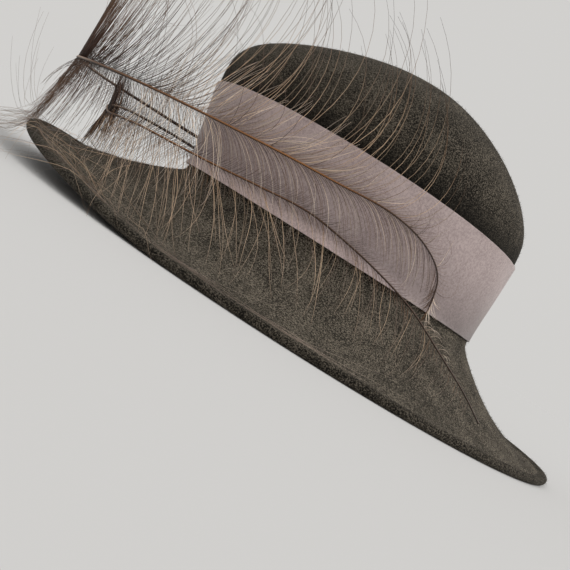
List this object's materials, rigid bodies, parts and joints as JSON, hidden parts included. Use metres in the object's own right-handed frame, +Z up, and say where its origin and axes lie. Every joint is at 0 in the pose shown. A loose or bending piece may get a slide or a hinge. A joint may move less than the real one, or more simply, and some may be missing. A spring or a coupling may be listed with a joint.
{
  "type": "fedora",
  "caption": "Wide-brimmed felt fedora with a deep ribbon band and stripped feather plumes folded ahead of the crown and swept back along one side.",
  "frame": {"origin": "middle of the whole hat's floor plan, on the floor under the brim edge", "axes": "+Z up out of the crown, -Y to the wearer's front, +X to the wearer's left, where the plumes lie"},
  "size_m": [0.334, 0.4056, 0.1774],
  "materials": {
    "felt": "charcoal wool felt with a short speckled nap",
    "ribbon": "mauve-taupe grosgrain, fine cross ribs",
    "feather": "burnt brown feather, glossy quill, bare barbs"
  },
  "bodies": {
    "root": {"felt_crown_and_brim": "felt", "ribbon_band": "ribbon", "ribbon_keeper": "ribbon", "plume_upper": "feather", "plume_lower": "feather"}
  },
  "joints": []
}
